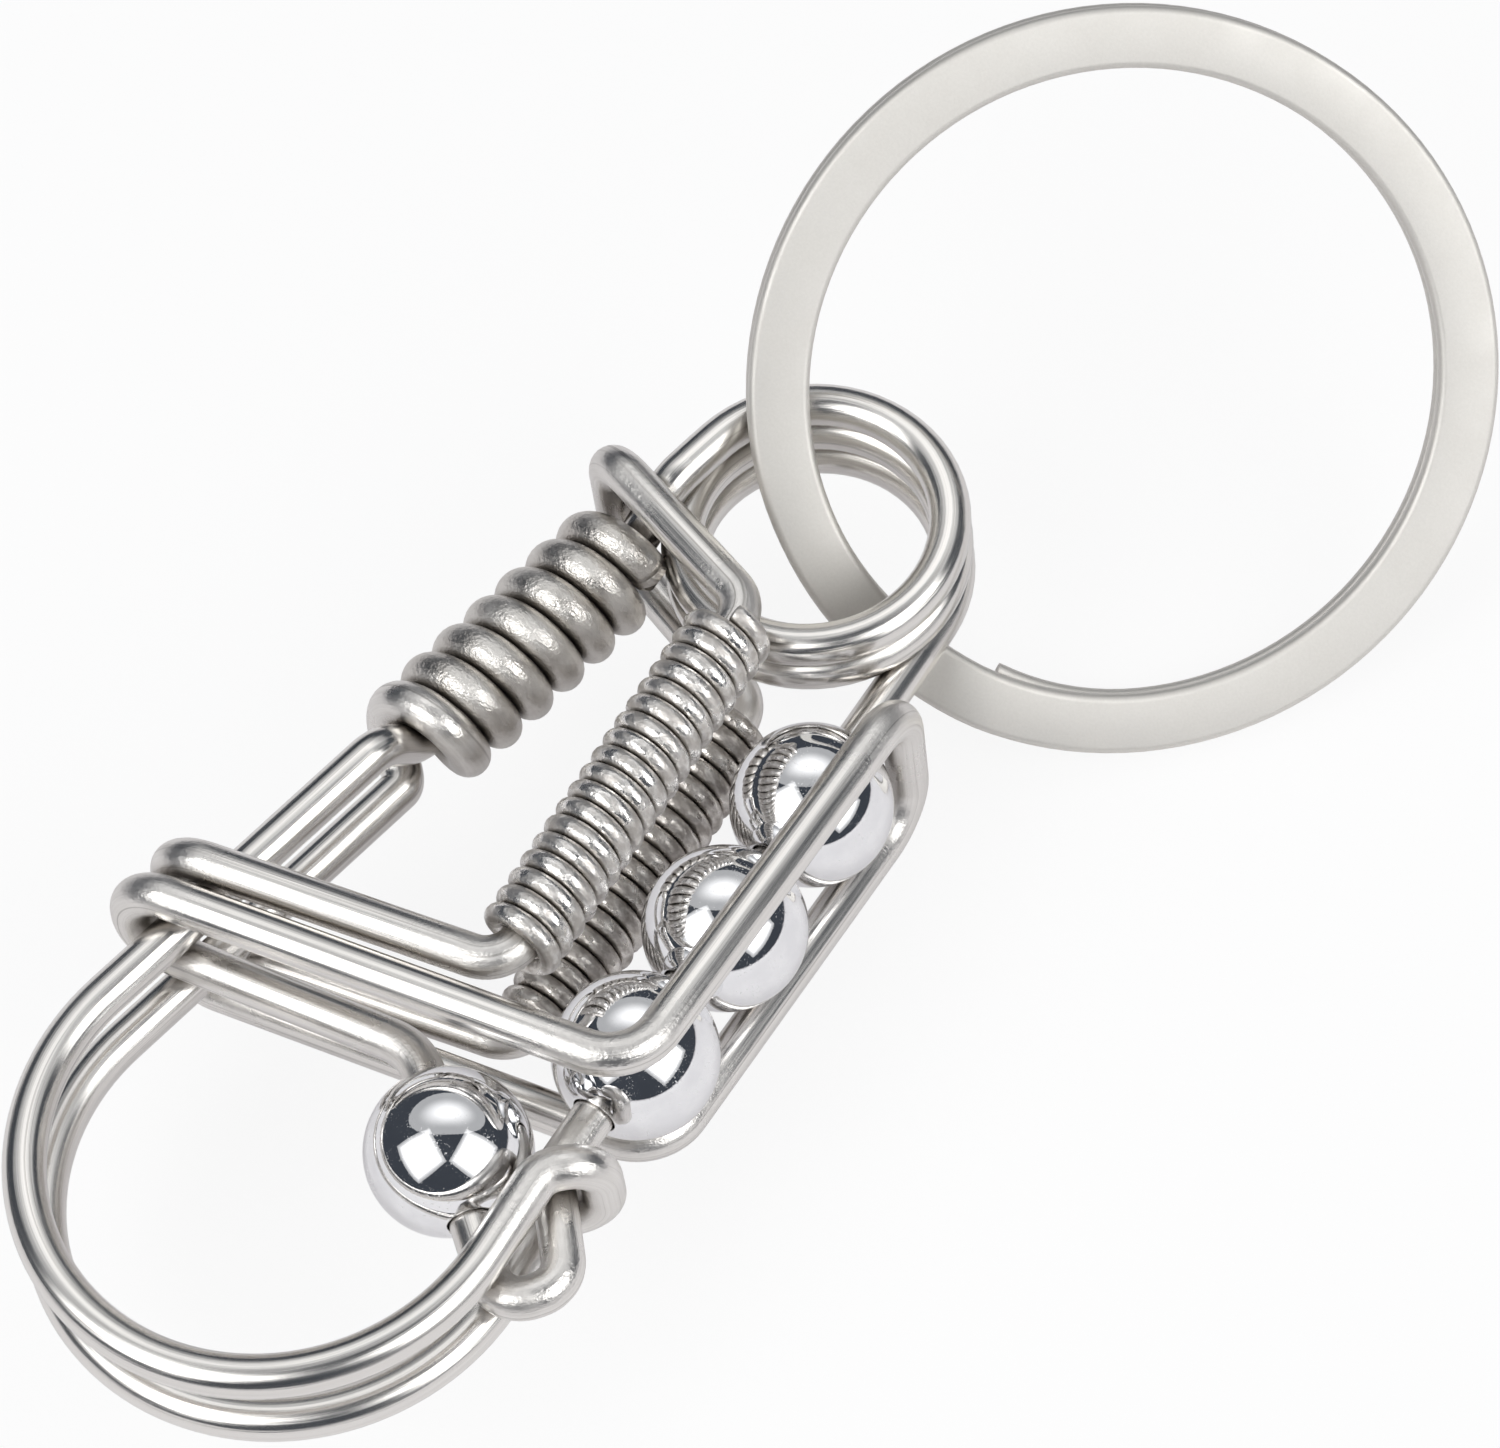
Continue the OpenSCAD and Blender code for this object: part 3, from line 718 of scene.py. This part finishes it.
def draw_lines_group():
    """Fine lines along drawn wire, from its unrolled place."""
    graph, given, out = node_tree(
        "ShaderNodeTree", "draw_lines",
        {"Place": "NodeSocketVector", "Fineness": "NodeSocketFloat", "Stretch": "NodeSocketFloat"},
        {"Lines": "NodeSocketFloat"},
    )
    long_way = graph.add("ShaderNodeCombineXYZ", {"X": 1.0, "Y": 1.0, "Z": given["Stretch"]})
    place = graph.add(
        "ShaderNodeVectorMath", {0: given["Place"], 1: long_way.outputs["Vector"]}, operation="MULTIPLY"
    )
    lines = noise(graph, place.outputs["Vector"], given["Fineness"], LINE_NOISE)
    graph.tree.links.new(lines, out.inputs["Lines"])
    return graph.tree


def speckle_group():
    """Fine grains and coarse patches."""
    graph, given, out = node_tree(
        "ShaderNodeTree", "grain_speckle",
        {"Place": "NodeSocketVector", "Grain": "NodeSocketFloat", "Patch": "NodeSocketFloat"},
        {"Grains": "NodeSocketFloat", "Patches": "NodeSocketFloat"},
    )
    grains = noise(graph, given["Place"], given["Grain"], GRAIN_NOISE)
    patches = noise(graph, given["Place"], given["Patch"], PATCH_NOISE)
    graph.tree.links.new(grains, out.inputs["Grains"])
    graph.tree.links.new(remap(graph, patches, PATCH_RANGE), out.inputs["Patches"])
    return graph.tree


draw_lines = draw_lines_group()
grain_speckle = speckle_group()


def metal(name):
    """A new metal and the graph of its nodes."""
    material = bpy.data.materials.new(name)
    material.use_nodes = True
    material.node_tree.nodes["Principled BSDF"].inputs["Metallic"].default_value = 1.0
    return material, Graph(material.node_tree)


def finish(graph, tone, rough, height, relief):
    """Gives the metal's shader its colour, roughness and relief."""
    depth, strength = relief
    bump = graph.add("ShaderNodeBump", {"Height": height, "Distance": depth, "Strength": strength})
    shader = graph.tree.nodes["Principled BSDF"]
    for label, value in (("Base Color", tone), ("Roughness", rough), ("Normal", bump.outputs["Normal"])):
        graph.tree.links.new(value, shader.inputs[label])


def carried(graph, name):
    """What a swept mesh carries under this name."""
    return graph.add("ShaderNodeAttribute", attribute_name=name).outputs


def object_place(graph):
    """The place on the piece itself."""
    return graph.add("ShaderNodeTexCoord").outputs["Object"]


def pattern(graph, group, place, scales):
    """A shared pattern at the material's own scales."""
    return graph.add("ShaderNodeGroup", {"Place": place, **scales}, node_tree=group).outputs


def mixed(graph, kind, factor, a, b):
    """From a to b by the factor, for numbers or colours."""
    first, second, result = MIX_SOCKETS[kind]
    return graph.add("ShaderNodeMix", {0: factor, first: a, second: b}, data_type=kind).outputs[result]


def colour_mix(graph, factor, a, b):
    """From colour a to colour b by the factor; each is a tone or another mix."""
    a, b = ((*tone, 1) if isinstance(tone, tuple) else tone for tone in (a, b))
    return mixed(graph, "RGBA", factor, a, b)


def corner_shade_mask(graph):
    """How closely a point is hemmed in by neighbouring wires, which sets the painted shade there."""
    corner = graph.add(
        "ShaderNodeAmbientOcclusion", {"Distance": CORNER_REACH}, samples=CORNER_SAMPLES
    )
    return remap(graph, corner.outputs["AO"], CORNER_RANGE)


def crevice_shade_mask(graph):
    """How deep a point lies between two turns of a winding, which sets the painted shade in the crevice."""
    return remap(graph, carried(graph, "between")["Fac"], CREVICE_RANGE)


def bright_wire_material():
    """Drawn stainless wire: bright on the straights, grainy where it was bent or wound."""
    material, graph = metal("bright_wire")
    place = carried(graph, "wire_space")["Vector"]
    worked = carried(graph, "worked")["Fac"]
    bent_share = graph.math("MULTIPLY", worked, 1 / BENT, clamp=True)
    wound_share = remap(graph, worked, (BENT, WOUND))
    lines = pattern(graph, draw_lines, place, WIRE_LINES)["Lines"]
    hairs = pattern(graph, draw_lines, place, WIRE_HAIRS)["Lines"]
    speckle = pattern(graph, grain_speckle, place, WIRE_SPECKLE)

    drawn_rough = remap(graph, lines, target=DRAWN_ROUGH)
    worked_rough = remap(graph, speckle["Patches"], target=WORKED_ROUGH)
    rough = mixed(graph, "FLOAT", bent_share, drawn_rough, worked_rough)

    bright = colour_mix(graph, lines, *DRAWN_TONES)
    hairline = remap(graph, hairs, HAIR_RANGE, (0.0, HAIR_STRENGTH))
    drawn = colour_mix(graph, hairline, bright, HAIRLINE)
    wound = colour_mix(graph, speckle["Patches"], *WOUND_TONES)
    under_painted_shade = colour_mix(graph, wound_share, drawn, wound)
    # Painted shade: the dark tone in the crevices between wound turns and in hemmed-in corners
    crevice_shade = graph.math("MULTIPLY", crevice_shade_mask(graph), wound_share)
    # Painted shade: wires darkened where neighbouring wires hem them in
    corner_shade = graph.math("MULTIPLY", corner_shade_mask(graph), CORNER_STRENGTH)
    tone = colour_mix(graph, graph.math("MAXIMUM", crevice_shade, corner_shade), under_painted_shade, PAINTED_SHADE_TONE)

    grain = graph.math("MULTIPLY", speckle["Grains"], bent_share)
    grain = graph.math("MULTIPLY", grain, remap(graph, wound_share, target=GRAIN_DEPTHS))
    height = graph.math("ADD", graph.math("MULTIPLY", lines, LINE_DEPTH), grain)
    finish(graph, tone, rough, height, WIRE_RELIEF)
    return material


def spring_material():
    """Sleeve spring wire: warm grey, mottled and rubbed bright in patches, with painted shade: darker brown
    tones by its shade share and a dark tone in the crevices between turns.
    """
    material, graph = metal("mottled_spring")
    speckle = pattern(graph, grain_speckle, carried(graph, "wire_space")["Vector"], SPRING_SPECKLE)
    patches = speckle["Patches"]
    rough = remap(graph, patches, target=SPRING_ROUGH)
    rubbed = colour_mix(graph, patches, *RUBBED_TONES)
    in_painted_shade = colour_mix(graph, patches, *SHADED_SPRING_TONES)
    # Painted shade: the worked attribute here holds the spring's shade share, which mixes in the darker brown
    # tones
    under_painted_shade = colour_mix(graph, carried(graph, "worked")["Fac"], rubbed, in_painted_shade)
    # Painted shade: the dark tone in the crevices between the spring's turns
    tone = colour_mix(graph, crevice_shade_mask(graph), under_painted_shade, PAINTED_SHADE_TONE)
    height = graph.math("ADD", speckle["Grains"], graph.math("MULTIPLY", patches, PATCH_DEPTH))
    finish(graph, tone, rough, height, SPRING_RELIEF)
    return material


def ball_material():
    """Mirror balls with a trace of dust."""
    material, graph = metal("mirror_ball")
    speckle = pattern(graph, grain_speckle, object_place(graph), MIRROR_SPECKLE)
    dust = graph.math("MULTIPLY", remap(graph, speckle["Grains"], DUST_RANGE), speckle["Patches"])
    rough = remap(graph, dust, target=MIRROR_ROUGH)
    tone = colour_mix(graph, speckle["Patches"], *MIRROR_TONES)
    finish(graph, tone, rough, speckle["Grains"], MIRROR_RELIEF)
    return material


def ring_material():
    """Tumbled nickel: an even satin with a faint grain."""
    material, graph = metal("satin_nickel")
    speckle = pattern(graph, grain_speckle, object_place(graph), NICKEL_SPECKLE)
    rough = remap(graph, speckle["Patches"], target=NICKEL_ROUGH)
    tone = colour_mix(graph, speckle["Grains"], *NICKEL_TONES)
    finish(graph, tone, rough, speckle["Grains"], NICKEL_RELIEF)
    return material


bright_wire = bright_wire_material()
mottled_spring = spring_material()
mirror_ball = ball_material()
satin_nickel = ring_material()

swept_wire = swept_wire_tree()
swept_band = swept_band_tree()


def wire_piece(name, path, worked, axis=Vector(), cut=False):
    """A length of the hook's wire, with a rounded rim at its far end where it is cut."""
    gauge = cut_gauge(path, False, cut)
    worked = worked + [worked[-1]] * (len(path) - len(worked))
    sizes = {"Wire Diameter": WIRE_D * MM, "Winding Axis": axis, "Sides": WIRE_SIDES, "Material": bright_wire}
    piece = swept(name, swept_wire, path, sizes, {"gauge": gauge, "worked": worked})
    return piece


def spring_piece(name, foot, turns, shade_share):
    """A sleeve spring, its lower end dressed down to turn clear of the rod's bend."""
    path = spring_path(foot, turns)
    gauge = cut_gauge(path, True, True)
    for i, point in enumerate(path):
        turns_up = (point.y - path[0].y) / SPRING_PITCH
        gauge[i] *= mix(SPRING_END_GAUGE, 1, min(turns_up / SPRING_TAPER_TURNS, 1))
    sizes = {
        "Wire Diameter": SPRING_WIRE_D * MM,
        "Winding Axis": Vector((0, 1, 0)),
        "Sides": SPRING_SIDES,
        "Material": mottled_spring,
    }
    # The worked attribute carries the spring's painted shade share
    piece = swept(name, swept_wire, path, sizes, {"gauge": gauge, "worked": [shade_share] * len(path)})
    return piece


def ball_profile():
    """Half outline of a drilled ball: out round the upper lip, down the outside and back up the bore."""
    r = BALL_D / 2
    lip_r = BORE_R + BORE_LIP_R
    lip_z = math.sqrt((r - BORE_LIP_R) ** 2 - lip_r ** 2)
    lip_a = math.atan2(lip_z, lip_r)
    upper = []
    for i in range(BALL_LIP_STEPS):
        a = mix(math.pi, lip_a, i / BALL_LIP_STEPS)
        upper.append((lip_r + BORE_LIP_R * math.cos(a), lip_z + BORE_LIP_R * math.sin(a)))
    outside = []
    for i in range(BALL_OUT_STEPS + 1):
        a = mix(lip_a, -lip_a, i / BALL_OUT_STEPS)
        outside.append((r * math.cos(a), r * math.sin(a)))
    lower = [(x, -z) for x, z in reversed(upper)]
    bore = [(BORE_R, mix(-lip_z, lip_z, i / BALL_BORE_STEPS)) for i in range(1, BALL_BORE_STEPS)]
    return upper + outside + lower + bore


def ball_piece(name, centre, axis):
    """A drilled ball turned about its bore."""
    outline = ball_profile()
    count = len(outline)
    verts = []
    for k in range(BALL_SEGMENTS):
        a = TURN * k / BALL_SEGMENTS
        verts += [(x * math.cos(a), x * math.sin(a), z) for x, z in outline]
    faces = []
    for k in range(BALL_SEGMENTS):
        nxt = (k + 1) % BALL_SEGMENTS
        for i in range(count):
            j = (i + 1) % count
            faces.append((k * count + i, k * count + j, nxt * count + j, nxt * count + i))
    mesh = bpy.data.meshes.new(name)
    mesh.from_pydata(verts, [], faces)
    heading = axis.to_track_quat("Z", "Y").to_matrix().to_4x4()
    mesh.transform(Matrix.Translation(centre * MM) @ heading @ Matrix.Scale(MM, 4))
    work = bmesh.new()
    work.from_mesh(mesh)
    bmesh.ops.recalc_face_normals(work, faces=work.faces)
    work.to_mesh(mesh)
    work.free()
    mesh.polygons.foreach_set("use_smooth", [True] * len(mesh.polygons))
    mesh.materials.append(mirror_ball)
    piece = bpy.data.objects.new(name, mesh)
    bpy.context.scene.collection.objects.link(piece)
    return piece


# The eye twists between the frame and the gate
eye = eye_path()
eye_wire = wire_piece("eye_wire", eye, [DRAWN] * len(eye))
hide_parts("eye_coil")
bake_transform(eye_wire)

path, worked = frame_path()
frame_wire = wire_piece("frame_wire", path, worked, rail_dir, cut=True)
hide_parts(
    "left_rail_front", "bow_front", "nose_hairpin", "bow_back", "left_rail_back", "binding_coil",
)
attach(frame_wire, "frame")

path, worked = gate_path()
gate_wire = wire_piece("gate_wire", path, worked, cut=True)
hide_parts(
    "gate_arm", "nose_hook", "thumb_bar", "lower_wrap", "front_bar_lower", "cage_front_rail",
    "cage_top_bend", "cage_back_rail", "back_bar_lower", "upper_wrap", "front_bar_upper",
    "front_rod", "top_clip", "back_rod", "back_bar_upper",
)
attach(gate_wire, "gate")

ball_mid = arm_at(-BALL_MID_DROP)
balls = [
    ("ball_1", "bead_1", ball_mid - arm_dir * BALL_STEP, arm_dir),
    ("ball_2", "bead_2", ball_mid, arm_dir),
    ("ball_3", "bead_3", ball_mid + arm_dir * BALL_STEP, arm_dir),
    ("thumb_ball", "thumb_bead", thumb_bend + thumb_dir * THUMB_BALL_ALONG, thumb_dir),
]
for node, body, centre, axis in balls:
    piece = ball_piece(node + "_mirror", centre, axis)
    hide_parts(node)
    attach(piece, body)

front_foot = Vector((FRONT_ROD_X, -SPRING_DROP, front_z))
back_foot = Vector((BACK_ROD_X, BACK_RISE - SPRING_DROP, back_z))
# Each spring with its painted shade share; the back spring is painted darker
for node, body, foot, turns, shade_share in (
    ("front_spring", "front_sleeve", front_foot, SPRING_TURNS, FRONT_SHADE_SHARE),
    ("back_spring", "back_sleeve", back_foot, SPRING_TURNS - BACK_RISE / SPRING_PITCH, BACK_SHADE_SHARE),
):
    piece = spring_piece(node + "_wound", foot, turns, shade_share)
    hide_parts(node)
    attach(piece, body)

ring_sizes = {
    "Band Width": RING_BAND * MM,
    "Band Thickness": (RING_T / 2 - RING_TURN_GAP) * MM,
    "Edge Radius": RING_EDGE_R * MM,
    "Material": satin_nickel,
}
ring = swept("split_ring_strip", swept_band, ring_path(), ring_sizes)
ring_offset = Vector((math.cos(RING_FAR), math.sin(RING_FAR), 0)) * RING_MEAN_R
ring.data.transform(
    Matrix.Translation(UP * RING_LINK_Z * MM)
    @ Matrix.Rotation(RING_HEADING, 4, "Z")
    @ Matrix.Rotation(RING_LEAN, 4, "Y")
    @ Matrix.Translation(ring_offset * MM)
    @ Matrix.Rotation(RING_CUT, 4, "Z")
)
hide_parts("split_ring")
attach(ring, "ring")


# Camera at the photograph's viewing angle
AIM = Vector((2.33, -10.19, 0)) * MM
VIEW_RIGHT = Vector((0.85760, 0.50797, -0.08057))
VIEW_UP = Vector((-0.40288, 0.76086, 0.50870))
VIEW_BACK = Vector((0.31971, -0.40380, 0.85717))
VIEW_DISTANCE = 0.25
LENS, SENSOR = 129, 36
NEAR, FAR = 0.01, 50


def axes_matrix(x, y, z, origin):
    """Places an object at the origin with the given axes."""
    return Matrix((
        (x.x, y.x, z.x, origin.x),
        (x.y, y.y, z.y, origin.y),
        (x.z, y.z, z.z, origin.z),
        (0, 0, 0, 1),
    ))


camera_data = bpy.data.cameras.new("camera")
camera_data.lens, camera_data.sensor_width = LENS, SENSOR
camera_data.clip_start, camera_data.clip_end = NEAR, FAR
camera = bpy.data.objects.new("camera", camera_data)
camera.matrix_world = axes_matrix(VIEW_RIGHT, VIEW_UP, VIEW_BACK, AIM + VIEW_BACK * VIEW_DISTANCE)
bpy.context.scene.collection.objects.link(camera)
bpy.context.scene.camera = camera


# Studio: two square softboxes beside the camera, an oval light overhead, a white table and a dark room.
# A light's gains are at its middle and its rim, and its fade is where one goes over into the other.
LIGHT_DISTANCE = 0.6
LIGHT_MIDDLE = (0.5, 0.5, 0)
SOFTBOX = {
    "shape": "RECTANGLE", "size": (0.6, 0.6), "radiance": 2.2, "gains": (1.75, 0.2), "fade": (0.12, 0.5),
}
OVAL = {
    "shape": "ELLIPSE", "size": (1.3, 0.74), "radiance": 0.42, "gains": (3.2, 1.0), "fade": (0.0, 0.36),
}


def studio(x, y, z):
    """A direction from the camera's right, up and back."""
    return VIEW_RIGHT * x + VIEW_UP * y + VIEW_BACK * z


def fade_light(data, gains, fade):
    """Lets an area light fade from its middle to its rim, as the cloth of a softbox does."""
    data.use_nodes = True
    graph = Graph(data.node_tree)
    spot = graph.add("ShaderNodeNewGeometry").outputs["Parametric"]
    offset = graph.add("ShaderNodeVectorMath", {0: spot, 1: LIGHT_MIDDLE}, operation="SUBTRACT")
    offset = offset.outputs["Vector"]
    if data.shape == "RECTANGLE":
        sides = graph.add("ShaderNodeVectorMath", {0: offset}, operation="ABSOLUTE").outputs["Vector"]
        along = graph.add("ShaderNodeSeparateXYZ", {0: sides}).outputs
        out = graph.math("MAXIMUM", along["X"], along["Y"])
    else:
        out = graph.add("ShaderNodeVectorMath", {0: offset}, operation="LENGTH").outputs["Value"]
    gain = remap(graph, out, fade, gains, interpolation_type="SMOOTHSTEP")
    graph.tree.links.new(gain, data.node_tree.nodes["Emission"].inputs["Strength"])


def soft_light(name, direction, side, shape, size, radiance, gains, fade):
    """An area light that faces the part from the given direction, its width along side."""
    data = bpy.data.lights.new(name, "AREA")
    data.shape = shape
    data.size, data.size_y = size
    area = size[0] * size[1] * (math.pi / 4 if shape == "ELLIPSE" else 1)
    data.energy = radiance * math.pi * area
    fade_light(data, gains, fade)
    light = bpy.data.objects.new(name, data)
    z = direction.normalized()
    x = (side - z * side.dot(z)).normalized()
    light.matrix_world = axes_matrix(x, z.cross(x), z, AIM + z * LIGHT_DISTANCE)
    bpy.context.scene.collection.objects.link(light)


soft_light("left_softbox", studio(-0.58, -0.04, 0.81), studio(0.80, 0.60, 0.50), **SOFTBOX)
soft_light("right_softbox", studio(0.60, -0.04, 0.80), studio(0.80, -0.60, -0.50), **SOFTBOX)
soft_light("overhead_oval", studio(-0.02, 0.84, 0.54), studio(1, 0, 0), **OVAL)

ROOM_TONE = (0.05, 0.057, 0.07, 1)
world = bpy.data.worlds.new("dark_room")
bpy.context.scene.world = world
world.use_nodes = True
background = world.node_tree.nodes["Background"]
background.inputs["Color"].default_value = ROOM_TONE
background.inputs["Strength"].default_value = 1.0

# The table is mostly a white page to the camera, in part a pale glow in the mirrors, and matte to the rest
TABLE_Z = -11.2 * MM
TABLE_HALF = 8.0
MATTE_TONE = (0.9, 0.9, 0.9, 1)
PAGE_TONE = (1, 1, 1, 1)
PAGE_SHARE = 0.88
MIRRORED_TONE = (0.76, 0.73, 0.76, 1)
MIRRORED_SHARE = 0.35

table_mesh = bpy.data.meshes.new("table")
table_mesh.from_pydata(
    [(x * TABLE_HALF, y * TABLE_HALF, TABLE_Z) for x, y in ((-1, -1), (1, -1), (1, 1), (-1, 1))],
    [], [(0, 1, 2, 3)],
)
table = bpy.data.objects.new("table", table_mesh)
bpy.context.scene.collection.objects.link(table)
table_white = bpy.data.materials.new("table_white")
table_white.use_nodes = True
graph = Graph(table_white.node_tree)
graph.tree.nodes.remove(graph.tree.nodes["Principled BSDF"])
matte = graph.add("ShaderNodeBsdfDiffuse", {"Color": MATTE_TONE}).outputs["BSDF"]
page = graph.add("ShaderNodeEmission", {"Color": PAGE_TONE}).outputs["Emission"]
mirrored = graph.add("ShaderNodeEmission", {"Color": MIRRORED_TONE}).outputs["Emission"]
rays = graph.add("ShaderNodeLightPath").outputs
through = graph.math("MAXIMUM", rays["Is Glossy Ray"], rays["Is Transmission Ray"])
table_share = graph.math("MULTIPLY", through, MIRRORED_SHARE)
in_mirrors = graph.add("ShaderNodeMixShader", {0: table_share, 1: matte, 2: mirrored}).outputs["Shader"]
page_share = graph.math("MULTIPLY", rays["Is Camera Ray"], PAGE_SHARE)
seen = graph.add("ShaderNodeMixShader", {0: page_share, 1: in_mirrors, 2: page}).outputs["Shader"]
graph.tree.links.new(seen, graph.tree.nodes["Material Output"].inputs["Surface"])
table_mesh.materials.append(table_white)

bpy.context.scene.view_settings.view_transform = "Standard"
